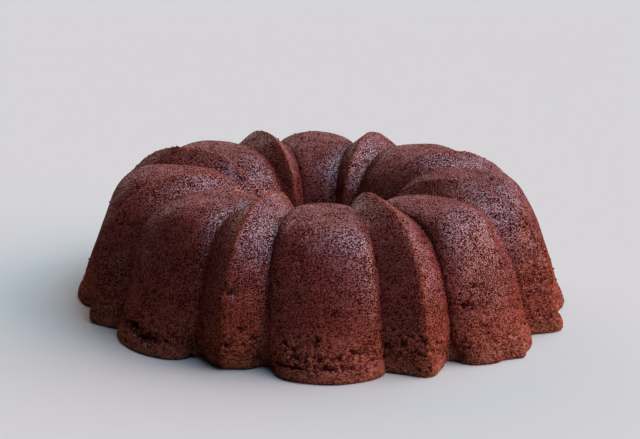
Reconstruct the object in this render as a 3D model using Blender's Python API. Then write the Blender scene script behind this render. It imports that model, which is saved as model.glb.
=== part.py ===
"""A chocolate pound cake, baked in a fluted ring pan and turned out whole.

Run it with: blender --background --python part.py

The cake is one solid ring. Eight broad round flutes take turns with eight narrow flutes that come to a
ridge. Each flute climbs the outer wall, goes over the crown and runs down into the hole in the middle.
The origin is in the middle of the foot, on the surface that the cake stands on, and +Z is up. Angles
run round the axis from the middle of the front flute, which faces -Y, and grow towards +X.
"""

import math

import bpy
import numpy as np
from mathutils import Vector, noise
from mathutils.geometry import interpolate_bezier

MM = 0.001

# The ring's plan, in degrees
FLUTES_OF_A_KIND = 8
PAIR = 360 / FLUTES_OF_A_KIND  # one round flute and one ridged flute
ROUND_HALF = 13.5  # from the middle of a round flute to the groove beside it
RIDGE_HALF = PAIR / 2 - ROUND_HALF

# Three upright sections, in millimetres: along a groove, over a round flute and over a ridge. Each is
# an outer and an inner curve that meet level at the crown. "lean" draws the lower wall inwards,
# "stand" and "shoulder" say how long the wall stays upright and how far the crown stays level, and
# "throat", "flare" and "neck" say the same of the wall of the hole.
GROOVE = dict(foot=112.5, lean=4.5, stand=36.5, shoulder=33.0, crown=69.0, height=62.0,
              throat=30.5, flare=5.0, neck=39.0, hole=25.5)
ROUND = dict(foot=123.8, lean=24.0, stand=71.5, shoulder=35.5, crown=66.5, height=65.3,
             throat=29.0, flare=5.5, neck=42.0, hole=24.5)
RIDGE = dict(foot=121.5, lean=0.5, stand=44.5, shoulder=35.5, crown=69.0, height=69.8,
             throat=33.0, flare=5.0, neck=43.5, hole=23.5)
ROUND_FULLNESS = 1.98  # 2 makes a round flute's outline elliptical, and more makes it squarer
RIDGE_EDGE = 1.5  # how blunt a ridge's edge is
RIDGE_EDGE_AT_FOOT = 2.2
SETTLED = 2.0  # how far the crown has settled towards -X from its foot

# The foot: a band pressed out by the pan's rim, with a rounded lower edge and a crease above it
BAND = 7.2
BAND_WAVER = 0.9
BAND_PROUD = 0.9
FOOT_ROUNDING = 1.7
CREASE_DEPTH = 0.8
CREASE_HALF = 0.9
HOLE_ROUNDING = 1.5

# Unevenness of the bake: slow bulges along and across the flutes, and smaller lumps
SWELL = 0.6
SWELL_LENGTH = 27.0
LUMP = 0.14
LUMP_LENGTH = 9.0

# Marks of the baking and the turning out: where each is (degrees, radius, height), how far it reaches
# to each side and up and down, and how far it stands out
MARKS = (
    (0, 123, 3, 24, 8, 2.2),  # front flute's foot, pressed out
    (21.8, 121, 2, 7, 8, 2.8),  # ridge on its right, foot drawn to a point
    (31.0, 115, 1, 6, 9, -3.0),
    (45, 123, 3, 20, 8, 2.0),  # right front flute's foot
    (54.5, 103, 53, 6, 14, -2.2),  # and its far shoulder, rounder than the rest
    (67.5, 122, 2, 12, 7, 3.5),  # right ridge's foot, stepped out
    (67.5, 114, 32, 12, 22, 1.4),
    (67.5, 88, 66, 13, 24, -1.6),
    (112.5, 106, 44, 12, 20, 1.8),
    (-22.5, 118, 0, 12, 7, -4.6),  # left ridge's foot, knocked blunt
    (-13.5, 112, 0, 7, 9, -5.0),
    (-31.5, 112, 0, 7, 9, -3.5),
    (-52, 121, 12, 18, 22, -2.2),  # left front flute, drawn in towards the back
    (-90, 112, 38, 14, 18, -1.0),
    (-22.2, 115, 37, 4.0, 2.6, -2.0),  # chip out of the left ridge's edge
    (-22.9, 116, 33, 3.0, 2.4, 1.2),
    (-21.9, 120, 12.5, 2.6, 1.8, -2.4),  # pit below it
    (-48.4, 121, 10.2, 4.4, 1.9, -3.2),  # two deep cracks above the left front flute's foot
    (-43.8, 122, 7.2, 4.4, 1.7, -3.0),
    (-3.4, 122, 6.5, 12, 1.4, -1.2),  # long crack above the front flute's foot
    (46.5, 123, 1.5, 3.0, 2.6, 2.4),  # crumb hanging from the right front flute's foot
    (42.0, 123, 1.5, 3.2, 2.4, -1.8),
    (69.5, 104, 53, 4.5, 5.0, 1.3),  # torn, crumbly edge of the right ridge
    (66.0, 109, 46, 4.0, 4.0, -1.3),
    (-68.0, 116, 26, 6, 5, -0.9),
    (152.0, 118, 14, 6, 4, -1.6),
    (-128.0, 121, 9, 7, 3, -1.8),
    (171.0, 36, 44, 1.6, 12, -0.9),  # groove down the hole's back wall
)

# Faces: columns across each kind of flute, and rows up the wall, over the crown and into the hole
ROUND_COLUMNS = 12
RIDGE_COLUMNS = 8
BAND_HEIGHTS = (0.0, 0.5, 1.7, 4.6, 6.4, 7.6, 9.2, 12.0)
WALL_ROWS = 13
HOLE_ROWS = 12
BASE_ROWS = 2

CRUST_COLOUR = (0.078, 0.021, 0.012)
CRUST_ROUGHNESS = 0.78


def section(shape, points=160):
    """The outer and the inner curve of one upright section, each from foot to crown, as (r, z) in mm."""
    crown = Vector((shape["crown"], shape["height"]))
    outer = interpolate_bezier(
        Vector((shape["foot"], 0)),
        Vector((shape["foot"] - shape["lean"], shape["stand"])),
        crown + Vector((shape["shoulder"], 0)),
        crown,
        points,
    )
    inner = interpolate_bezier(
        Vector((shape["hole"], 0)),
        Vector((shape["hole"] + shape["flare"], shape["neck"])),
        crown - Vector((shape["throat"], 0)),
        crown,
        points,
    )
    return np.array([p[:] for p in outer]), np.array([p[:] for p in inner])


def along(curve, heights, rows):
    """Points of a curve at the given heights, then as many rows again evenly up to its crown."""
    low = np.stack([np.interp(heights, curve[:, 1], curve[:, 0]), heights], axis=1)
    steps = np.linalg.norm(np.diff(curve, axis=0), axis=1)
    length = np.concatenate([[0.0], np.cumsum(steps)])
    start = np.interp(heights[-1], curve[:, 1], length)
    stops = np.linspace(start, length[-1], rows + 1)[1:]
    high = np.stack([np.interp(stops, length, curve[:, i]) for i in (0, 1)], axis=1)
    return np.concatenate([low, high])


def rows_of(shape):
    """One section as rows from the outer foot, over the crown, to the foot of the hole."""
    outer, inner = section(shape)
    up = along(outer, np.array(BAND_HEIGHTS), WALL_ROWS)
    down = along(inner, np.array([0.0, HOLE_ROUNDING]), HOLE_ROWS)[::-1]
    return np.concatenate([up, down[1:]])


def columns():
    """Each column's angle in degrees, its place across its flute, -1 to 1, and whether that is ridged."""
    angles, across, ridged = [], [], []
    for pair in range(FLUTES_OF_A_KIND):
        middle = pair * PAIR
        for k in range(ROUND_COLUMNS):
            across.append(math.sin(math.pi * (k / ROUND_COLUMNS - 0.5)))
            angles.append(middle + across[-1] * ROUND_HALF)
            ridged.append(False)
        for k in range(RIDGE_COLUMNS):
            across.append(2 * k / RIDGE_COLUMNS - 1)
            angles.append(middle + PAIR / 2 + across[-1] * RIDGE_HALF)
            ridged.append(True)
    return np.array(angles), np.array(across), np.array(ridged)


def round_share(across):
    """How far across a round flute the surface stands out from the groove, 0 to 1."""
    return (1 - np.abs(across) ** ROUND_FULLNESS) ** (1 / ROUND_FULLNESS)


def ridge_share(across, radius, height, outside):
    """The same for a ridged flute: two flat faces that meet in an edge of the same bluntness all along."""
    edge = RIDGE_EDGE + (RIDGE_EDGE_AT_FOOT - RIDGE_EDGE) * np.clip(1 - height / 18, 0, 1) * outside
    soft = (edge / (radius * math.radians(RIDGE_HALF)))[:, None]
    return 1 - (np.hypot(across[None, :], soft) - soft) / (np.hypot(1, soft) - soft)


def round_the_ring(angles, waves, seed):
    """Smooth noise from -1 to 1 at each angle, the same again after a whole turn."""
    turns = np.radians(angles)
    reach = waves / math.tau
    return np.array([
        noise.noise(Vector((reach * math.sin(turn), reach * math.cos(turn), seed))) * 2
        for turn in turns
    ])


def foot_relief(angles, z):
    """How far the foot's band, crease and rounded lower edge move the outer wall out, in mm."""
    top = BAND + BAND_WAVER * round_the_ring(angles, 40, 3.7)
    deep = CREASE_DEPTH * np.clip(0.55 + 0.9 * round_the_ring(angles, 34, 8.1), 0, 1)
    out = BAND_PROUD * np.clip((top - z) / 5 + 0.5, 0, 1)
    out = out - deep * np.exp(-(((z - top) / CREASE_HALF) ** 2))
    below = np.clip(1 - z / FOOT_ROUNDING, 0, 1)
    return out - FOOT_ROUNDING * (1 - np.sqrt(1 - below**2))


def marks(angles, radius, height):
    """How far the marks move each point of the grid out, in mm."""
    out = np.zeros_like(radius)
    for angle, mark_radius, mark_height, half_width, half_height, stands in MARKS:
        aside = np.radians((angles - angle + 180) % 360 - 180) * mark_radius
        apart = np.hypot(radius - mark_radius, height - mark_height)
        out += stands * np.exp(-((aside / half_width) ** 2) - (apart / half_height) ** 2)
    return out


def uneven(x, y, z):
    """The bake's slow bulges and lumps at a point, in mm out from the surface."""
    slow = noise.noise(Vector((x, y, z)) / SWELL_LENGTH)
    quick = noise.noise(Vector((x, y, z)) / LUMP_LENGTH + Vector((7.3, 1.9, 4.4)))
    return 2 * (SWELL * slow + LUMP * quick)


def outwards(grid):
    """Unit vectors out of the cake at each point of the grid, level near the foot so that it stays flat."""
    up = np.gradient(grid, axis=0)
    onwards = np.roll(grid, -1, axis=1) - np.roll(grid, 1, axis=1)
    normal = np.cross(onwards, up)
    normal = normal / np.linalg.norm(normal, axis=-1, keepdims=True)
    normal[..., 2] *= np.clip(grid[..., 2] / BAND, 0, 1)
    return normal / np.linalg.norm(normal, axis=-1, keepdims=True)


def cake_points():
    """The grid of points, in mm: rows from the outer foot over the crown to the foot of the hole."""
    angles, across, ridged = columns()
    groove, crest, ridge = (rows_of(shape) for shape in (GROOVE, ROUND, RIDGE))
    outside = np.arange(len(groove)) < len(BAND_HEIGHTS) + WALL_ROWS
    as_round = np.where(ridged, 0, round_share(across))[None, :]
    as_ridge = np.where(ridged, ridge_share(across, groove[:, 0], groove[:, 1], outside), 0)
    radius, height = (
        groove[:, None, i]
        + (crest - groove)[:, None, i] * as_round
        + (ridge - groove)[:, None, i] * as_ridge
        for i in (0, 1)
    )
    marked = marks(angles[None, :], radius, height)
    radius = radius + foot_relief(angles, height) * outside[:, None]
    radius = radius + np.clip(HOLE_ROUNDING - height, 0, 1) * ~outside[:, None]
    turn = np.radians(angles)[None, :]
    settled = SETTLED * height / ROUND["height"]
    grid = np.stack([radius * np.sin(turn) - settled, -radius * np.cos(turn), height], axis=-1)
    lift = marked + np.array([[uneven(*point) for point in row] for row in grid])
    grid = grid + outwards(grid) * lift[..., None]
    low, high = (edge(grid.reshape(-1, 3), axis=0) for edge in (np.min, np.max))
    return grid - (low + high) / 2 * (1, 1, 0)


def cake_mesh():
    grid = cake_points()
    rows, count = grid.shape[:2]
    outer_edge, inner_edge = grid[0], grid[-1]
    base = [
        inner_edge + (outer_edge - inner_edge) * k / (BASE_ROWS + 1)
        for k in range(1, BASE_ROWS + 1)
    ]
    points = np.concatenate([grid, np.array(base)]).reshape(-1, 3) * MM
    rows += BASE_ROWS
    faces = []
    for i in range(rows):
        for j in range(count):
            right = (j + 1) % count
            above = (i + 1) % rows
            faces.append((i * count + j, i * count + right, above * count + right, above * count + j))
    mesh = bpy.data.meshes.new("cake")
    mesh.from_pydata(points.tolist(), [], faces)
    return mesh


def crust_material():
    material = bpy.data.materials.new("chocolate_crust")
    material.use_nodes = True
    shader = material.node_tree.nodes["Principled BSDF"]
    shader.inputs["Base Color"].default_value = (*CRUST_COLOUR, 1)
    shader.inputs["Roughness"].default_value = CRUST_ROUGHNESS
    shader.inputs["Metallic"].default_value = 0
    return material


def clear_scene():
    for thing in list(bpy.data.objects):
        bpy.data.objects.remove(thing, do_unlink=True)


def main():
    clear_scene()
    mesh = cake_mesh()
    mesh.materials.append(crust_material())
    mesh.shade_smooth()
    cake = bpy.data.objects.new("cake", mesh)
    bpy.context.scene.collection.objects.link(cake)


main()
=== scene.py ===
"""The looks of a chocolate pound cake, baked in a fluted ring pan and turned out whole.

The cake keeps the form of its solid and gets its crust: burst bubbles, pores, torn edges and the crumbs
that cling to it. Its sizes are in millimetres, and angles run round the ring from the middle of the
front flute, which faces -Y, towards +X.
"""

import math

import bmesh
import bpy
import numpy as np
from mathutils import Matrix, Vector, noise
from mathutils.geometry import interpolate_bezier


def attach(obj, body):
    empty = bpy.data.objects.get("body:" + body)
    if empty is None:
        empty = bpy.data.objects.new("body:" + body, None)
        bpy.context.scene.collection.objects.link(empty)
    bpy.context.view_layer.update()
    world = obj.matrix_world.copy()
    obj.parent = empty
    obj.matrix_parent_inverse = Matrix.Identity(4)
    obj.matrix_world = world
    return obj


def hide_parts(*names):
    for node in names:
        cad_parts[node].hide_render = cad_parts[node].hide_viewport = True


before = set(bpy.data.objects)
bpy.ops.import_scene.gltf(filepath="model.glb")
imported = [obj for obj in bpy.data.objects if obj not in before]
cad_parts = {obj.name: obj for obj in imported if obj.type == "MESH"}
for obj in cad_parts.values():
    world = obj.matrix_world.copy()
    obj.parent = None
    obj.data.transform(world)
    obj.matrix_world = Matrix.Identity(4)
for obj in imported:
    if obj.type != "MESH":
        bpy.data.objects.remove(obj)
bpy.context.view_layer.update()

# The cake. One ring of chocolate pound cake: the batter rose in a greased fluted ring pan, and the cake
# was turned out upside down. Eight broad round flutes take turns with eight narrow ones that come to a
# ridge. The flat side that it stands on was the batter's top, and the pan's rim pressed the band above it.
MM = 0.001

FLUTES_OF_A_KIND = 8
PAIR = 360 / FLUTES_OF_A_KIND  # degrees for one round flute and one ridged flute
ROUND_HALF = 13.5  # degrees from the middle of a round flute to the groove beside it
RIDGE_HALF = PAIR / 2 - ROUND_HALF

# Three upright sections: along a groove, over a round flute and over a ridge. Each is an outer and an
# inner curve that meet level at the crown.
GROOVE = dict(foot=112.5, lean=4.5, stand=36.5, shoulder=33.0, crown=69.0, height=62.0,
              throat=30.5, flare=5.0, neck=39.0, hole=25.5)
ROUND = dict(foot=123.8, lean=24.0, stand=71.5, shoulder=35.5, crown=66.5, height=65.3,
             throat=29.0, flare=5.5, neck=42.0, hole=24.5)
RIDGE = dict(foot=121.5, lean=0.5, stand=44.5, shoulder=35.5, crown=69.0, height=69.8,
             throat=33.0, flare=5.0, neck=43.5, hole=23.5)
ROUND_FULLNESS = 1.98  # 2 makes a round flute's outline elliptical, and more makes it squarer
RIDGE_EDGE = 1.2  # how blunt a ridge's edge is
RIDGE_EDGE_AT_FOOT = 1.8
BLUNTER_BELOW = 18.0  # the height at which it starts to turn that blunt
SETTLED = 2.0  # how far the crown has settled towards -X from its foot

# Round the foot: the band that the pan's rim pressed, a crease over it that comes and goes, and the
# rounded lower edges
BAND = 7.2  # height of the band's top
BAND_WAVER = 0.9  # how far that strays up and down
BAND_WAVES = 40  # and about how many times on the way round
BAND_PROUD = 0.9
BAND_FADE = 5.0  # height over which it runs out into the wall
CREASE_DEPTH = 0.5
CREASE_SHARE = 0.55  # how much of that depth it has on average
CREASE_VARIES = 0.9
CREASE_WAVES = 34
CREASE_HALF = 0.7  # half its height
FOOT_ROUNDING = 1.7
HOLE_ROUNDING = 1.5

# Slow swells and smaller lumps in the whole surface: how high they are, and how long
SWELL = 0.6
SWELL_LENGTH = 27.0
LUMP = 0.14
LUMP_LENGTH = 9.0
NOISE_GAIN = 2  # brings noise that keeps mostly within -0.5 to 0.5 to -1 to 1

# The grid of the surface: columns across each kind of flute, and rows up the wall, over the crown and
# down the hole, each about 0.6 mm apart
ROUND_COLUMNS = 108
RIDGE_COLUMNS = 56
FOOT_TOP = 24.0
FOOT_ROWS = 46
FOOT_CROWDING = 1.3  # more than 1 brings the rows closer together towards the foot
WALL_ROWS = 118
HOLE_FOOT_ROWS = 4
HOLE_ROWS = 88
BASE_ROWS = 8
CURVE_POINTS = 400  # points of each section's curves, before the rows are laid along them

# Marks of the baking and the turning out: where each is (degrees, radius, height), how far it reaches
# to each side and up and down, and how far it stands out
MARKS = (
    (0, 123, 3, 24, 8, 2.2),  # front flute's foot, pressed out
    (21.8, 121, 2, 7, 8, 2.8),  # ridge on its right, foot drawn to a point
    (31.0, 115, 1, 6, 9, -3.0),
    (45, 123, 3, 20, 8, 2.0),  # right front flute's foot
    (54.5, 103, 53, 6, 14, -2.2),  # and its far shoulder, rounder than the rest
    (67.5, 122, 2, 12, 7, 3.5),  # right ridge's foot, stepped out
    (67.5, 114, 32, 12, 22, 1.4),
    (67.5, 88, 66, 13, 24, -1.6),
    (112.5, 106, 44, 12, 20, 1.8),
    (-22.5, 118, 0, 12, 7, -4.6),  # left ridge's foot, knocked blunt
    (-13.5, 112, 0, 7, 9, -5.0),
    (-31.5, 112, 0, 7, 9, -3.5),
    (-52, 121, 12, 18, 22, -2.2),  # left front flute, drawn in towards the back
    (-90, 112, 38, 14, 18, -1.0),
    (-22.2, 115, 37, 4.0, 2.6, -2.0),  # chip out of the left ridge's edge
    (-22.9, 116, 33, 3.0, 2.4, 1.2),
    (-21.9, 120, 12.5, 2.6, 1.8, -1.0),  # pit below it
    (-47.6, 121, 9.6, 6, 2.6, -0.8),  # wall drawn in round the cracks above the left front flute's foot
    (-43.6, 122, 7.4, 6, 2.6, -0.8),
    (46.5, 123, 1.5, 3.0, 2.6, 2.4),  # crumb hanging from the right front flute's foot
    (42.0, 123, 1.5, 3.2, 2.4, -1.8),
    (69.5, 104, 53, 4.5, 5.0, 1.3),  # torn, crumbly edge of the right ridge
    (66.0, 109, 46, 4.0, 4.0, -1.3),
    (-68.0, 116, 26, 6, 5, -0.9),
    (152.0, 118, 14, 6, 4, -1.6),
    (-128.0, 121, 9, 7, 3, -1.8),
    (171.0, 36, 44, 1.6, 12, -0.9),  # groove down the hole's back wall
)

# Cavities in the outer wall, where larger bubbles tore open or crumb broke away: where each is (degrees,
# radius, height), how far it reaches to each side and up and down, and how deep it is
CAVITIES = (
    (-6.3, 122, 10.4, 2.2, 0.7, 1.5),  # a row of them above the front flute's foot
    (-1.4, 122, 10.2, 1.1, 0.7, 1.6),
    (-7.6, 123, 6.4, 6.5, 0.5, 2.1),  # two lengths of crack below it
    (0.9, 123, 6.9, 6.0, 0.5, 2.0),
    (-48.6, 121, 10.3, 4.2, 1.2, 3.4),  # two deep cracks above the left front flute's foot
    (-43.9, 122, 7.2, 4.2, 1.1, 3.4),
    (2.9, 122, 10.8, 1.7, 0.7, 1.8),
    (6.0, 121, 12.6, 1.6, 0.8, 1.3),
    (8.6, 120, 13.6, 1.2, 0.8, 1.2),
    (-6.0, 120, 18.6, 0.9, 0.9, 1.4),  # open bubbles over that row
    (-2.0, 120, 17.6, 0.8, 1.2, 1.5),
    (-8.9, 120, 15.0, 1.0, 0.7, 1.5),
    (-7.4, 121, 13.4, 0.9, 0.7, 1.5),
    (21.5, 118, 15.9, 1.0, 0.9, 1.8),  # on the ridge to its right
    (17.4, 113, 13.5, 0.8, 1.3, 1.6),
    (14.0, 114, 11.6, 1.0, 0.8, 1.4),
    (21.0, 120, 9.4, 1.0, 1.0, 1.3),
    (23.4, 120, 11.2, 0.7, 1.2, 1.2),
    (28.0, 116, 6.6, 1.2, 1.3, 1.6),
    (19.6, 113, 30.4, 1.0, 0.6, 0.9),
    (49.6, 108, 41.0, 0.6, 3.2, 1.0),  # a slit and pits on the right front flute
    (34.9, 111, 26.6, 2.2, 1.1, 1.7),
    (33.9, 110, 29.0, 0.8, 0.6, 1.1),
    (38.6, 110, 33.9, 1.0, 0.6, 1.2),
    (43.4, 112, 30.5, 0.7, 0.6, 0.9),
    (39.7, 115, 22.0, 0.8, 0.6, 1.0),
    (44.2, 121, 9.3, 0.7, 1.0, 1.1),
    (64.6, 116, 26.0, 1.0, 0.9, 1.5),  # pits low on the ridge to its right
    (63.0, 115, 22.0, 0.7, 0.7, 1.2),
    (61.4, 116, 6.6, 0.8, 0.7, 1.3),
    (-21.9, 119, 12.4, 1.2, 0.8, 1.6),  # on the ridge to its left
    (-22.6, 116, 36.0, 1.8, 0.8, 1.0),
    (-16.0, 115, 15.2, 1.5, 0.9, 1.4),
    (-19.0, 117, 20.0, 1.0, 0.8, 1.2),
    (-5.9, 104, 50.0, 0.5, 3.4, 0.35),  # a faint crease down the front flute
    (-5.3, 107, 45.0, 0.5, 3.4, 0.4),
    (-4.8, 110, 40.0, 0.5, 3.0, 0.3),
)
CAVITY_RAGGED = 0.7  # how far noise moves a cavity's outline, as a share of its reach
CAVITY_STEEPNESS = 6
CAVITY_DARK_FROM = 0.7  # the depth at which it starts to take a pore's dark colour, partly painted shade
CAVITY_DARK_OVER = 0.3

# A strip of crust torn from the near face of the right ridge: where its ragged left side runs (height and
# degrees). Its right side is the ridge's edge.
TORN_HEIGHTS = (20, 24, 28, 45, 56.5, 60)
TORN_FROM = (67.5, 60.5, 59.8, 62.7, 66.2, 68)
TORN_TO = 67.5
TORN_RAGGED = 0.6  # how far noise moves both sides, in degrees
TORN_DEPTH = 0.7
TORN_CRUMBLY = 0.7  # how crumbly the bared inside is, where 1 is the crumbliest


def section(shape):
    """The outer and the inner curve of one upright section, each from foot to crown, as (r, z)."""
    crown = Vector((shape["crown"], shape["height"]))
    outer = interpolate_bezier(
        Vector((shape["foot"], 0)),
        Vector((shape["foot"] - shape["lean"], shape["stand"])),
        crown + Vector((shape["shoulder"], 0)),
        crown,
        CURVE_POINTS,
    )
    inner = interpolate_bezier(
        Vector((shape["hole"], 0)),
        Vector((shape["hole"] + shape["flare"], shape["neck"])),
        crown - Vector((shape["throat"], 0)),
        crown,
        CURVE_POINTS,
    )
    return np.array([p[:] for p in outer]), np.array([p[:] for p in inner])


def along(curve, heights, rows):
    """Points of a curve at the given heights, and then at as many rows as given, evenly to its crown."""
    low = np.stack([np.interp(heights, curve[:, 1], curve[:, 0]), heights], axis=1)
    steps = np.linalg.norm(np.diff(curve, axis=0), axis=1)
    length = np.concatenate([[0.0], np.cumsum(steps)])
    start = np.interp(heights[-1], curve[:, 1], length)
    stops = np.linspace(start, length[-1], rows + 1)[1:]
    high = np.stack([np.interp(stops, length, curve[:, i]) for i in (0, 1)], axis=1)
    return np.concatenate([low, high])


def rows_of(shape):
    """One section as rows from the outer foot, over the crown, to the foot of the hole."""
    outer, inner = section(shape)
    up = along(outer, FOOT_TOP * np.linspace(0, 1, FOOT_ROWS) ** FOOT_CROWDING, WALL_ROWS)
    down = along(inner, np.linspace(0, HOLE_ROUNDING, HOLE_FOOT_ROWS), HOLE_ROWS)[::-1]
    return np.concatenate([up, down[1:]])


def columns():
    """Each column's angle in degrees, its place across its flute, -1 to 1, and whether that is ridged."""
    angles, across, ridged = [], [], []
    for pair in range(FLUTES_OF_A_KIND):
        middle = pair * PAIR
        for k in range(ROUND_COLUMNS):
            across.append(math.sin(math.pi * (k / ROUND_COLUMNS - 0.5)))
            angles.append(middle + across[-1] * ROUND_HALF)
            ridged.append(False)
        for k in range(RIDGE_COLUMNS):
            across.append(2 * k / RIDGE_COLUMNS - 1)
            angles.append(middle + PAIR / 2 + across[-1] * RIDGE_HALF)
            ridged.append(True)
    return np.array(angles), np.array(across), np.array(ridged)


def round_share(across):
    """How far across a round flute the surface stands out from the groove, 0 to 1."""
    return (1 - np.abs(across) ** ROUND_FULLNESS) ** (1 / ROUND_FULLNESS)


def ridge_share(across, radius, height, outside):
    """The same for a ridged flute: two flat faces that meet in an edge, a little blunter at the foot."""
    at_foot = np.clip(1 - height / BLUNTER_BELOW, 0, 1) * outside
    blunt = RIDGE_EDGE + (RIDGE_EDGE_AT_FOOT - RIDGE_EDGE) * at_foot
    soft = (blunt / (radius * math.radians(RIDGE_HALF)))[:, None]
    return 1 - (np.hypot(across[None, :], soft) - soft) / (np.hypot(1, soft) - soft)


def round_the_ring(angles, waves, shift):
    """Smooth noise, mostly from -1 to 1, at each angle, the same again after a whole turn."""
    reach = waves / math.tau
    return np.array([
        noise.noise(Vector((reach * math.sin(turn), reach * math.cos(turn), shift))) * NOISE_GAIN
        for turn in np.radians(angles)
    ])


def foot_relief(angles, z):
    """How far the foot's band, crease and rounded lower edge move the outer wall out."""
    top = BAND + BAND_WAVER * round_the_ring(angles, BAND_WAVES, 3.7)
    here = CREASE_SHARE + CREASE_VARIES * round_the_ring(angles, CREASE_WAVES, 8.1)
    deep = CREASE_DEPTH * np.clip(here, 0, 1)
    out = BAND_PROUD * np.clip((top - z) / BAND_FADE + 0.5, 0, 1)
    out = out - deep * np.exp(-(((z - top) / CREASE_HALF) ** 2))
    below = np.clip(1 - z / FOOT_ROUNDING, 0, 1)
    return out - FOOT_ROUNDING * (1 - np.sqrt(1 - below**2))


def marks(angles, radius, height):
    """How far the marks move each point of the grid out."""
    out = np.zeros_like(radius)
    for angle, mark_radius, mark_height, half_width, half_height, stands in MARKS:
        aside = np.radians((angles - angle + 180) % 360 - 180) * mark_radius
        apart = np.hypot(radius - mark_radius, height - mark_height)
        out += stands * np.exp(-((aside / half_width) ** 2) - (apart / half_height) ** 2)
    return out


def cavities(angles, height, ragged):
    """How deep the cavities go at each point of the grid, with the ragged outline that the noise gives."""
    deep = np.zeros_like(height)
    for angle, radius, middle, half_width, half_height, depth in CAVITIES:
        aside = np.radians((angles - angle + 180) % 360 - 180) * radius
        apart = np.hypot(aside / half_width, (height - middle) / half_height) * (1 + CAVITY_RAGGED * ragged)
        deep = np.maximum(deep, depth / (1 + apart**CAVITY_STEEPNESS))
    return deep


def noise_over(grid, length, shift):
    """Smooth noise, mostly from -1 to 1, at each point of the grid, with bumps of about that length."""
    shift = Vector(shift)
    places = grid.reshape(-1, 3).tolist()
    values = [noise.noise(Vector(place) / length + shift) * NOISE_GAIN for place in places]
    return np.array(values).reshape(grid.shape[:2])


def outwards(grid):
    """Unit vectors out of the cake at each point of the grid, level near the foot so that it stays flat."""
    up = np.gradient(grid, axis=0)
    onwards = np.roll(grid, -1, axis=1) - np.roll(grid, 1, axis=1)
    normal = np.cross(onwards, up)
    normal = normal / np.linalg.norm(normal, axis=-1, keepdims=True)
    normal[..., 2] *= np.clip(grid[..., 2] / BAND, 0, 1)
    return normal / np.linalg.norm(normal, axis=-1, keepdims=True)


angles, across, ridged = columns()
groove, crest, ridge = (rows_of(shape) for shape in (GROOVE, ROUND, RIDGE))
outside = np.arange(len(groove)) < FOOT_ROWS + WALL_ROWS
as_round = np.where(ridged, 0, round_share(across))[None, :]
as_ridge = np.where(ridged, ridge_share(across, groove[:, 0], groove[:, 1], outside), 0)
radius, height = (
    groove[:, None, i] + (crest - groove)[:, None, i] * as_round + (ridge - groove)[:, None, i] * as_ridge
    for i in (0, 1)
)
marked = marks(angles[None, :], radius, height)
from_edge = np.abs(across) * math.radians(RIDGE_HALF) * radius
radius = radius + foot_relief(angles, height) * outside[:, None]
radius = radius + np.clip(HOLE_ROUNDING - height, 0, 1) * ~outside[:, None]
turn = np.radians(angles)[None, :]
settled = SETTLED * height / ROUND["height"]
grid = np.stack([radius * np.sin(turn) - settled, -radius * np.cos(turn), height], axis=-1)
swells = noise_over(grid, SWELL_LENGTH, (0, 0, 0))
lumps = noise_over(grid, LUMP_LENGTH, (7.3, 1.9, 4.4))
grid = grid + outwards(grid) * (marked + SWELL * swells + LUMP * lumps)[..., None]
grid = grid - (grid.min(axis=(0, 1)) + grid.max(axis=(0, 1))) / 2 * (1, 1, 0)

# The crust's own relief on that form: bubbles of three sizes that burst against the pan, the cavities, and
# the crumb between them. It is coarser in the lowest quarter and along a ridge's edge.
CRUMB = 0.035  # how far the crumb stands out and in where the crust is smooth
CRUMB_LENGTH = 1.9
FINER_CRUMB = 0.6  # the share of a second crumb, half as long
CRUMBLY = 6.0  # how much stronger the crumb is where the crust is crumbliest
CRUMBLY_UP_TO = 28.0
CRUMBLY_FADE = 18.0  # height over which the crust turns from smooth to crumbly
SMOOTH_BAND = 0.55  # how crumbly the pressed band is, as a share of the wall just over it
EDGE_WIDTH = 1.2
EDGE_CRUMB = 0.3
EDGE_SHARE = 0.75  # how much of its length is worn, on average
EDGE_VARIES = 0.8
EDGE_FADE = 10.0  # height over which that wear comes in
RAGGED_LENGTH = 1.4
FLAT_FOOT = 1.5  # bubbles and cavities grow shallower below this height, so that the foot stays flat

# Bubbles: how far apart, the widest radius as a share of that, the share that stays shut, the depth, and
# how many more have burst where the crust is crumbly
BUBBLES = (
    (2.3, 0.50, 0.55, 0.34, 0.25),
    (4.2, 0.26, 0.7, 0.8, 0.2),
    (7.5, 0.17, 0.86, 1.25, 0.1),
)
UNEVEN = 0.0875  # how much their number varies from place to place
UNEVEN_LENGTH = 14
SMOOTH_DEPTH = 0.75  # how much of its depth a bubble has where the crust is smooth
CRUMBLY_DEPTH = 1.25  # and where it is crumbly
FLATTENED = 1.5  # how much wider than high a bubble is
BUBBLE_BEND = 0.33  # how far noise pushes its outline about, as a share of how far apart they are
BEND_FINENESS = 1.9
LOTS_APART = 31  # spreads the bubbles' middles, so that each draws its own lot
BUBBLE_SEED = 7  # without one, noise_vector starts from the clock and no two runs agree


def bubbles(grid, spacing, widest, shut, opened):
    """How far inside a burst bubble each point lies, 0 to 1, where `opened` raises how many have burst."""
    inside = np.zeros(grid.shape[:2])
    flat = inside.reshape(-1)
    squashed = (grid * (1, 1, FLATTENED) / spacing).reshape(-1, 3).tolist()
    for index, (place, more) in enumerate(zip(squashed, opened.reshape(-1).tolist())):
        place = Vector(place)
        place += noise.noise_vector(place * BEND_FINENESS) * BUBBLE_BEND
        apart, middles = noise.voronoi(place)
        lot = (noise.cell(middles[0] * LOTS_APART) + 1) / 2 + more
        width = widest * (lot - shut) / (1 - shut)
        if apart[0] < width:
            flat[index] = math.sqrt(1 - apart[0] / width)
    return inside


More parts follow.
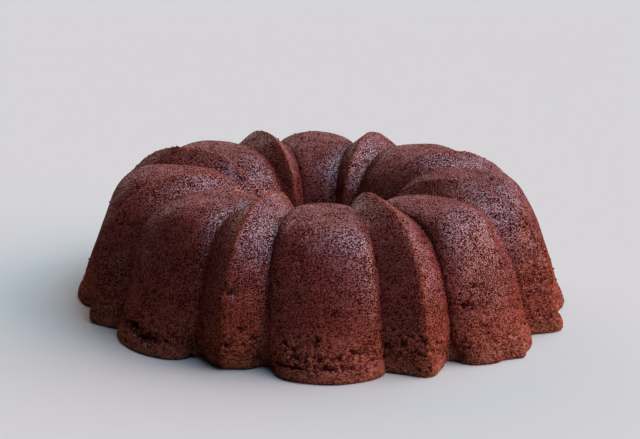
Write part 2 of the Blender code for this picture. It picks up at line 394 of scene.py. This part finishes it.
normal = outwards(grid)
height = grid[..., 2]
on_wall = outside[:, None]
crumbly = np.clip((CRUMBLY_UP_TO - height) / CRUMBLY_FADE, 0, 1) * on_wall
crumbly = crumbly * np.clip((height - BAND + 1) / 2 + SMOOTH_BAND, SMOOTH_BAND, 1)
uneven = noise_over(grid, UNEVEN_LENGTH, (2.2, 9.1, 0.4))
ragged = noise_over(grid, RAGGED_LENGTH, (6.2, 0.3, 7.7))
past_left_side = angles[None, :] - np.interp(height, TORN_HEIGHTS, TORN_FROM)
short_of_right = angles[None, :] < TORN_TO + TORN_RAGGED * ragged
torn = np.clip(past_left_side / TORN_RAGGED + ragged, 0, 1) * short_of_right * on_wall
crumbly = np.maximum(crumbly, TORN_CRUMBLY * torn)
worn = np.exp(-((from_edge / EDGE_WIDTH) ** 2)) * ridged * np.clip(height / EDGE_FADE, 0, 1)
worn = worn * np.clip(EDGE_SHARE + EDGE_VARIES * ragged, 0, 1)
crumb = noise_over(grid, CRUMB_LENGTH, (3.1, 8.2, 5.5))
crumb = crumb + FINER_CRUMB * noise_over(grid, CRUMB_LENGTH / 2, (1.7, 6.1, 2.9))
cavity = cavities(angles[None, :], height, ragged) * on_wall
# How far into an open pit each point is; the crust's colour darkens pits, partly with painted shade
pit = np.clip((cavity - CAVITY_DARK_FROM) / CAVITY_DARK_OVER, 0, 1)
sunk = np.maximum(cavity, TORN_DEPTH * torn)
noise.seed_set(BUBBLE_SEED)
for spacing, widest, shut, depth, more in BUBBLES:
    inside = bubbles(grid, spacing, widest, shut, more * crumbly + UNEVEN * uneven)
    pit = np.maximum(pit, inside)
    sunk = np.maximum(sunk, inside * depth * (SMOOTH_DEPTH + (CRUMBLY_DEPTH - SMOOTH_DEPTH) * crumbly))
raised = (CRUMB * (1 + CRUMBLY * crumbly) + EDGE_CRUMB * worn) * crumb
grid = grid + normal * (raised - sunk * np.clip(height / FLAT_FOOT, 0, 1))[..., None]
grid[..., 2] = grid[..., 2].clip(min=0)

outer_edge, inner_edge = grid[0], grid[-1]
steps = range(1, BASE_ROWS + 1)
base = np.array([inner_edge + (outer_edge - inner_edge) * step / (BASE_ROWS + 1) for step in steps])
points = np.concatenate([grid, base])
rows, count = points.shape[:2]
here, right = np.arange(count), (np.arange(count) + 1) % count
faces = []
for row in range(rows):
    first, above = row * count, (row + 1) % rows * count
    faces.append(np.stack([first + here, first + right, above + right, above + here], axis=1))
faces = np.concatenate(faces)
mesh = bpy.data.meshes.new("cake")
mesh.from_pydata((points.reshape(-1, 3) * MM).tolist(), [], faces.tolist())

# Its surface unrolled in two half rings, one above the other, cut down a groove on each side
UV_MARGIN = 0.008
UV_GAP = 0.012
BASE_SHARE = 0.42  # the hidden foot gets less of the map
cut = 2 * (ROUND_COLUMNS + RIDGE_COLUMNS)
half_ring = count // 2
column = np.tile((np.arange(count) - cut) % count, rows)
row_of_face = np.repeat(np.arange(rows), count)
foot_line = points[FOOT_ROWS]
widths = np.roll(np.linalg.norm(np.roll(foot_line, -1, axis=0) - foot_line, axis=-1), -cut)
heights = np.linalg.norm(np.roll(points, -1, axis=0) - points, axis=-1).mean(axis=1)
heights[rows - BASE_ROWS - 1:] *= BASE_SHARE
climbed = np.concatenate([[0.0], np.cumsum(heights)]) / heights.sum()
passed = np.concatenate([[0.0], np.cumsum(widths)])
strip = (1 - 2 * UV_MARGIN - UV_GAP) / 2
half = column // half_ring
half_length = passed[(half + 1) * half_ring] - passed[half * half_ring]
corners = np.zeros((len(faces), 4, 2))
for corner, (step, climb) in enumerate(((0, 0), (1, 0), (1, 1), (0, 1))):
    run = passed[column + step] - passed[half * half_ring]
    corners[:, corner, 0] = UV_MARGIN + (1 - 2 * UV_MARGIN) * run / half_length
    corners[:, corner, 1] = UV_MARGIN + half * (strip + UV_GAP) + strip * climbed[row_of_face + climb]
mesh.uv_layers.new(name="OFBake").data.foreach_set("uv", corners.reshape(-1))

for name, values in (("pit", pit), ("worn", worn), ("crumbly", crumbly)):
    padded = np.zeros((rows, count))
    padded[: len(grid)] = values
    mesh.attributes.new(name, "FLOAT", "POINT").data.foreach_set("value", padded.reshape(-1))
mesh.shade_smooth()
cake = bpy.data.objects.new("cake_crust", mesh)
bpy.context.scene.collection.objects.link(cake)
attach(cake, "root")
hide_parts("cake")


def linear(code):
    """A colour written as sRGB hex, such as 'c08040', in linear light with full alpha."""
    channels = [int(code[i:i + 2], 16) / 255 for i in (0, 2, 4)]
    return (*[c / 12.92 if c <= 0.04045 else ((c + 0.055) / 1.055) ** 2.4 for c in channels], 1)


def add(owner, kind, inputs=None, **settings):
    """Adds a node to a material or a world. Each input is a value or the output that it's linked to."""
    node = owner.node_tree.nodes.new("ShaderNode" + kind)
    for name, value in settings.items():
        setattr(node, name, value)
    for name, value in (inputs or {}).items():
        if isinstance(value, bpy.types.NodeSocket):
            owner.node_tree.links.new(value, node.inputs[name])
        else:
            node.inputs[name].default_value = value
    return node


# Baked chocolate crumb: cocoa and caramelised sugar. The greased pan left a skin with a faint gloss, and
# the hollows and pores that break it, half a millimetre to one and a half apart, are matt and dark: partly
# the darker crumb inside, partly painted shade of deep, narrow holes.
CRUMB_CELL = 0.66  # size of the crumb where the crust is smooth
COARSE_CELL = 1.15
COARSE_SHARE = 0.6  # how much of the coarser crumb shows where the crust is crumbliest
HOLLOW = (0.40, 0.50)  # where the crumb's noise turns from hollow to skin
HIGH = (0.46, 0.62)  # and where the skin turns glossy
PATCHES = 0.11  # broad patches to the millimetre, with more and with fewer hollows
PATCH_NOISE = (0.35, 0.65)  # the bounds of the noise from its least to its most
PATCHES_VARY = 0.03  # how far they move the hollows' bounds
CRUMBLY_MOVES = 0.02  # and how far crumbly crust does
PORES = 1.5  # how far apart the round pores are
PORE_WIDTHS = (0.14, 0.26)  # the least radius as a share of that, and how much wider a pore can be
PORE_BEND = 0.9  # how far the crumb's noise pushes a pore's outline about
PORE_CRISPNESS = 7.0
PORE_DEPTH = 0.30
GRAIN = 0.34  # size of the grains in the skin
GRAIN_DEPTH = 0.10
GRAIN_NOISE = (0.3, 0.7)
GRAIN_SHADES = (0.5, 1.5)  # the darkest and the brightest grain, beside the skin's own shade
BURST_DARK = 0.85  # how dark a burst bubble is, beside a pore, partly by painted shade
CRUMBLY_LIT = 0.12  # less dark pores where the crust is crumbliest: less painted shade, painted floor light low down
SKIN = "70352b"
RED_SKIN = "5c2017"
RED_PATCHES = 0.45  # patches of that to the millimetre
RED_NOISE = (0.4, 0.6)  # where their noise turns from the one to the other
# Pores and pits: the darker crumb inside them, with painted shade for how deep and narrow they are
PORE_CRUMB_AND_SHADE = "2c0805"
# Crumbly crust: its own more orange colour, made lighter low down with painted light from the floor
CRUMBLY_FLOOR_LIT_SKIN = "8b4938"
RIM_FLOOR_LIGHT = "90543f"  # on the band just over the floor: painted light, for the light that the floor throws up
RIM_SHARE = 0.6
RIM_ENDS = (3.5, 7.5)  # heights over which it gives out
RUBBED = "8b472d"  # along the ridges' edges, and on the coarse crumb low down
RUBBED_EDGE = 0.65
RUBBED_CRUMB = (0.5, 0.68)  # where the coarse crumb's noise turns to rubbed
WALL = (12, 56)  # heights over which the walls' painted shade and duller gloss turn to the crown's
WALL_SHADE_TINT = "ffece2"
WALL_DULL = 0.80  # the share of the gloss that is missing low on the walls
ROUGHNESS = 0.72
CRUMB_IOR = 1.45
GLOSS = 0.22
GLOSS_ROUGHNESS = 0.3
GLOSS_IOR = 3.0  # high, so that the thin gloss mirrors the windows from every side

crust = bpy.data.materials.new("baked_chocolate_crumb")
crust.use_nodes = True
crust.node_tree.nodes.clear()
where = add(crust, "TexCoord")
in_mm = add(crust, "VectorMath", {0: where.outputs["Object"], 1: (1 / MM, 1 / MM, FLATTENED / MM)},
            operation="MULTIPLY")
low_down = add(crust, "Attribute", attribute_name="crumbly")
burst = add(crust, "Attribute", attribute_name="pit")
at_edge = add(crust, "Attribute", attribute_name="worn")

# The crumb: fine on smooth crust and coarser where that is crumbly, with hollows where its noise is low
fine = add(crust, "TexNoise", {"Vector": in_mm.outputs[0], "Scale": 1 / CRUMB_CELL, "Detail": 1.5,
                               "Roughness": 0.55})
coarse = add(crust, "TexNoise", {"Vector": in_mm.outputs[0], "Scale": 1 / COARSE_CELL, "Detail": 3.0,
                                 "Roughness": 0.6})
grain = add(crust, "TexNoise", {"Vector": in_mm.outputs[0], "Scale": 1 / GRAIN, "Detail": 2.0})
coarseness = add(crust, "Math", {0: low_down.outputs["Fac"], 1: COARSE_SHARE}, operation="MULTIPLY")
crumb_noise = add(crust, "Mix", {0: coarseness.outputs[0], 2: fine.outputs["Fac"], 3: coarse.outputs["Fac"]})
patchy = add(crust, "TexNoise", {"Vector": in_mm.outputs[0], "Scale": PATCHES, "Detail": 4.0})
varied = add(crust, "MapRange", {"Value": patchy.outputs["Fac"], "From Min": PATCH_NOISE[0],
                                 "From Max": PATCH_NOISE[1], "To Min": -PATCHES_VARY,
                                 "To Max": PATCHES_VARY})
lowered = add(crust, "Math", {0: low_down.outputs["Fac"], 1: CRUMBLY_MOVES, 2: varied.outputs[0]},
              operation="MULTIPLY_ADD")
standing = add(crust, "Math", {0: crumb_noise.outputs[0], 1: lowered.outputs[0]}, operation="SUBTRACT")
hollow = add(crust, "MapRange", {"Value": standing.outputs[0], "From Min": HOLLOW[0], "From Max": HOLLOW[1],
                                 "To Min": 1.0, "To Max": 0.0}, interpolation_type="SMOOTHSTEP")

# The pores, each of its own width, and how dark every opening is: darker crumb and painted shade
bent = add(crust, "VectorMath", {0: fine.outputs["Color"], 1: (PORE_BEND,) * 3, 2: in_mm.outputs[0]},
           operation="MULTIPLY_ADD")
pores = add(crust, "TexVoronoi", {"Vector": bent.outputs[0], "Scale": 1 / PORES})
lots = add(crust, "SeparateColor", {0: pores.outputs["Color"]})
pore_radius = add(crust, "Math", {0: lots.outputs[0], 1: PORE_WIDTHS[1], 2: PORE_WIDTHS[0]},
                  operation="MULTIPLY_ADD")
within = add(crust, "Math", {0: pore_radius.outputs[0], 1: pores.outputs["Distance"]}, operation="SUBTRACT")
pore = add(crust, "Math", {0: within.outputs[0], 1: PORE_CRISPNESS}, operation="MULTIPLY", use_clamp=True)
open_pore = add(crust, "Math", {0: hollow.outputs[0], 1: pore.outputs[0]}, operation="MAXIMUM")
in_bubble = add(crust, "Math", {0: burst.outputs["Fac"], 1: BURST_DARK}, operation="MULTIPLY")
opened = add(crust, "Math", {0: open_pore.outputs[0], 1: in_bubble.outputs[0]}, operation="MAXIMUM")
darkest = add(crust, "Math", {0: low_down.outputs["Fac"], 1: -CRUMBLY_LIT, 2: 1.0}, operation="MULTIPLY_ADD")
dark = add(crust, "Math", {0: opened.outputs[0], 1: darkest.outputs[0]}, operation="MULTIPLY")

# The colour: the skin's reds, painted shade on the walls, painted floor light at the foot, rubbed places,
# pores
mottled = add(crust, "TexNoise", {"Vector": in_mm.outputs[0], "Scale": RED_PATCHES, "Detail": 6.0,
                                  "Roughness": 0.75})
redder = add(crust, "MapRange", {"Value": mottled.outputs["Fac"], "From Min": RED_NOISE[0],
                                 "From Max": RED_NOISE[1]})
skin = add(crust, "Mix", {0: redder.outputs[0], 6: linear(SKIN), 7: linear(RED_SKIN)}, data_type="RGBA")
axes = add(crust, "SeparateXYZ", {0: where.outputs["Object"]})
# Painted shade: the skin is darker and redder low on the walls than on the crown
wall = add(crust, "MapRange", {"Value": axes.outputs["Z"], "From Min": WALL[0] * MM,
                               "From Max": WALL[1] * MM, "To Min": 1.0, "To Max": 0.0})
wall_shaded = add(crust, "Mix", {0: wall.outputs[0], 6: skin.outputs[2], 7: linear(WALL_SHADE_TINT)},
             data_type="RGBA", blend_type="MULTIPLY")
crumbled = add(crust, "Mix", {0: coarseness.outputs[0], 6: wall_shaded.outputs[2], 7: linear(CRUMBLY_FLOOR_LIT_SKIN)},
               data_type="RGBA")
# Painted light on the band at the foot, for the light that the floor throws up onto it
rim = add(crust, "MapRange", {"Value": axes.outputs["Z"], "From Min": RIM_ENDS[0] * MM,
                              "From Max": RIM_ENDS[1] * MM, "To Min": RIM_SHARE, "To Max": 0.0},
          interpolation_type="SMOOTHSTEP")
banded = add(crust, "Mix", {0: rim.outputs[0], 6: crumbled.outputs[2], 7: linear(RIM_FLOOR_LIGHT)},
             data_type="RGBA")
rubbing = add(crust, "MapRange", {"Value": coarse.outputs["Fac"], "From Min": RUBBED_CRUMB[0],
                                  "From Max": RUBBED_CRUMB[1]})
rubbed_crumb = add(crust, "Math", {0: coarseness.outputs[0], 1: rubbing.outputs[0]}, operation="MULTIPLY")
rubbed = add(crust, "Math", {0: at_edge.outputs["Fac"], 1: RUBBED_EDGE, 2: rubbed_crumb.outputs[0]},
             operation="MULTIPLY_ADD", use_clamp=True)
bared = add(crust, "Mix", {0: rubbed.outputs[0], 6: banded.outputs[2], 7: linear(RUBBED)}, data_type="RGBA")
speckle = add(crust, "MapRange", {"Value": grain.outputs["Fac"], "From Min": GRAIN_NOISE[0],
                                  "From Max": GRAIN_NOISE[1], "To Min": GRAIN_SHADES[0],
                                  "To Max": GRAIN_SHADES[1]})
speckled = add(crust, "VectorMath", {0: bared.outputs[2], "Scale": speckle.outputs[0]}, operation="SCALE")
shown = add(crust, "Mix", {0: dark.outputs[0], 6: speckled.outputs[0], 7: linear(PORE_CRUMB_AND_SHADE)}, data_type="RGBA")

# The gloss, on the skin's highest places, weaker down the walls and gone from pores and worn edges
smooth = add(crust, "MapRange", {"Value": standing.outputs[0], "From Min": HIGH[0], "From Max": HIGH[1],
                                 "To Min": 0.0, "To Max": GLOSS}, interpolation_type="SMOOTHSTEP")
unbroken = add(crust, "Math", {0: 1.0, 1: dark.outputs[0]}, operation="SUBTRACT")
dulled = add(crust, "Math", {0: wall.outputs[0], 1: -WALL_DULL, 2: 1.0}, operation="MULTIPLY_ADD")
unworn = add(crust, "Math", {0: dulled.outputs[0], 1: at_edge.outputs["Fac"]}, operation="SUBTRACT",
             use_clamp=True)
glint = add(crust, "Math", {0: smooth.outputs[0], 1: unbroken.outputs[0]}, operation="MULTIPLY")
gloss = add(crust, "Math", {0: glint.outputs[0], 1: unworn.outputs[0]}, operation="MULTIPLY")

# The relief too fine for the mesh: how deep the pores are, and the grains
deep = add(crust, "Math", {0: open_pore.outputs[0], 1: -PORE_DEPTH * MM}, operation="MULTIPLY")
bumpy = add(crust, "Math", {0: grain.outputs["Fac"], 1: GRAIN_DEPTH * MM, 2: deep.outputs[0]},
            operation="MULTIPLY_ADD")
relief = add(crust, "Bump", {"Height": bumpy.outputs[0], "Strength": 1.0, "Distance": 1.0})
shader = add(crust, "BsdfPrincipled", {
    "Base Color": shown.outputs[2], "Roughness": ROUGHNESS, "IOR": CRUMB_IOR, "Specular IOR Level": 0.0,
    "Coat Weight": gloss.outputs[0], "Coat IOR": GLOSS_IOR, "Coat Roughness": GLOSS_ROUGHNESS,
    "Coat Normal": relief.outputs[0], "Normal": relief.outputs[0],
})
add(crust, "OutputMaterial", {"Surface": shader.outputs[0]})
mesh.materials.append(crust)

# Crumbs. Loose bits of the same cake, rubbed off as it left the pan, that cling to the crust, most of
# them low down and along the ridges' edges.
CRUMBS = 320
CRUMB_SEED = 11
CRUMB_RADIUS = (0.3, 0.85)
CRUMB_SQUASH = (0.7, 1.0)  # how wide each way, as a share of that
CRUMB_LUMPS = 0.5
LUMP_FINENESS = 1.6
CRUMB_STANDS = 0.3  # how far its middle is off the crust, as a share of its least radius
CLING_ABOVE = 1.5
CLING_ANYWHERE = 0.04  # how likely a crumb is on smooth crust, where 1 is the crumbliest
CLING_AT_EDGE = 0.35
CLING_REACH = 2.5  # how far from a ridge's edge

draw = np.random.default_rng(CRUMB_SEED)
side = np.linalg.norm(np.roll(grid, -1, axis=1) - grid, axis=-1)
rise = np.linalg.norm(np.gradient(grid, axis=0), axis=-1)
by_edge = np.exp(-((from_edge / CLING_REACH) ** 2)) * ridged * CLING_AT_EDGE
weight = side * rise * (CLING_ANYWHERE + crumbly + by_edge) * (grid[..., 2] > CLING_ABOVE)
chosen = draw.choice(weight.size, CRUMBS, p=(weight / weight.sum()).reshape(-1))
ball = bmesh.new()
bmesh.ops.create_icosphere(ball, subdivisions=2, radius=1)
ball_points = np.array([vertex.co[:] for vertex in ball.verts])
ball_faces = np.array([[vertex.index for vertex in face.verts] for face in ball.faces])
ball.free()
crumb_points, crumb_faces = [], []
for number, index in enumerate(chosen):
    size = draw.uniform(*CRUMB_RADIUS) * draw.uniform(*CRUMB_SQUASH, 3)
    shift = Vector((number, 0, 0))
    lumpy = [CRUMB_LUMPS * noise.noise(Vector(p) * LUMP_FINENESS + shift) + 1 for p in ball_points.tolist()]
    middle = grid.reshape(-1, 3)[index] + normal.reshape(-1, 3)[index] * size.min() * CRUMB_STANDS
    crumb_points.append(middle + ball_points * np.array(lumpy)[:, None] * size)
    crumb_faces.append(ball_faces + number * len(ball_points))
crumb_mesh = bpy.data.meshes.new("crumbs")
crumb_mesh.from_pydata(
    (np.concatenate(crumb_points) * MM).tolist(), [], np.concatenate(crumb_faces).tolist()
)
crumb_mesh.shade_smooth()
crumb_mesh.materials.append(crust)
crumbs = bpy.data.objects.new("clinging_crumbs", crumb_mesh)
bpy.context.scene.collection.objects.link(crumbs)
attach(crumbs, "root")

# The floor: one plain sheet of pale paper, far wider than the view. It is matt and without a pattern.
FLOOR_HALF = 4.0  # metres
floor_mesh = bpy.data.meshes.new("floor")
floor_corners = [(x * FLOOR_HALF, y * FLOOR_HALF, 0) for x, y in ((-1, -1), (1, -1), (1, 1), (-1, 1))]
floor_mesh.from_pydata(floor_corners, [], [(0, 1, 2, 3)])
floor = bpy.data.objects.new("floor", floor_mesh)
bpy.context.scene.collection.objects.link(floor)
pale = bpy.data.materials.new("pale_paper")
pale.use_nodes = True
paper = pale.node_tree.nodes["Principled BSDF"]
paper.inputs["Base Color"].default_value = linear("a79e91")
paper.inputs["Roughness"].default_value = 0.9
paper.inputs["Specular IOR Level"].default_value = 0.0
floor_mesh.materials.append(pale)


# Light: a broad warm window low on the right, blue sky in two patches before and behind it, a paler high
# window between those, a weak window far behind on the left, and a dim room with a pale wall behind.
def shine_from(name, bearing, rise, strength, spread, colour):
    """Soft light from a bearing, in degrees from the camera's side towards +X, and a height."""
    light = bpy.data.lights.new(name, "SUN")
    light.energy, light.angle, light.color = strength, math.radians(spread), colour
    lamp = bpy.data.objects.new(name, light)
    lamp.rotation_euler = (math.radians(90 - rise), 0, math.radians(bearing))
    lamp.location = (0, 0, 1)
    bpy.context.scene.collection.objects.link(lamp)


shine_from("window", 89, 14, 6.3, 68, (1.0, 0.69, 0.62))
shine_from("sky", 56, 55, 2.45, 46, (0.27, 0.55, 0.98))
shine_from("sky_behind", 134, 40, 3.05, 60, (0.26, 0.64, 1.0))
shine_from("high_window", 112, 68, 1.7, 56, (0.92, 0.90, 0.96))
shine_from("far_window", -150, 22, 1.2, 44, (1.0, 0.68, 0.62))

PALE_WALL_TOWARDS = (0.45, 0.89, 0)
PALE_WALL_SIDES = (0.3, 0.9)  # how squarely a view has to face it, from its edge to its middle
PALE_WALL_TOP = (0.3, 0.8)  # how far up a view has to look to leave it
PALE_WALL_LIGHT = 3.2
DIM_LIGHT = 0.028

room = bpy.data.worlds.new("room")
room.use_nodes = True
towards = add(room, "TexCoord")
split = add(room, "SeparateXYZ", {0: towards.outputs["Generated"]})
facing = add(room, "VectorMath", {0: towards.outputs["Generated"], 1: PALE_WALL_TOWARDS},
             operation="DOT_PRODUCT")
across_wall = add(room, "MapRange", {"Value": facing.outputs["Value"], "From Min": PALE_WALL_SIDES[0],
                                     "From Max": PALE_WALL_SIDES[1]}, interpolation_type="SMOOTHSTEP")
up_wall = add(room, "MapRange", {"Value": split.outputs["Z"], "From Min": PALE_WALL_TOP[0],
                                 "From Max": PALE_WALL_TOP[1], "To Min": 1.0, "To Max": 0.0},
              interpolation_type="SMOOTHSTEP")
on_wall_there = add(room, "Math", {0: across_wall.outputs[0], 1: up_wall.outputs[0]}, operation="MULTIPLY")
lit = add(room, "Math", {0: on_wall_there.outputs[0], 1: PALE_WALL_LIGHT, 2: DIM_LIGHT},
          operation="MULTIPLY_ADD")
backdrop = room.node_tree.nodes["Background"]
backdrop.inputs["Color"].default_value = linear("e9e8ec")
room.node_tree.links.new(lit.outputs[0], backdrop.inputs["Strength"])
bpy.context.scene.world = room
bpy.context.scene.view_settings.view_transform = "Standard"

# The camera, a little above the cake and before its front flute, as the photo was taken.
STANDS_AT = Vector((-18.9, -857.8, 285.0))
LOOKS_PAST_Y = 1.16  # degrees from +Y towards +X
LOOKS_DOWN = 15.89
TILTED = 1.17
LENS = 99.5
SENSOR = 36
camera = bpy.data.cameras.new("camera")
camera.lens = LENS
camera.sensor_width = SENSOR
viewer = bpy.data.objects.new("camera", camera)
viewer.location = STANDS_AT * MM
viewer.rotation_euler = (
    Matrix.Rotation(-math.radians(LOOKS_PAST_Y), 4, "Z")
    @ Matrix.Rotation(math.radians(90 - LOOKS_DOWN), 4, "X")
    @ Matrix.Rotation(math.radians(TILTED), 4, "Z")
).to_euler()
bpy.context.scene.collection.objects.link(viewer)
bpy.context.scene.camera = viewer
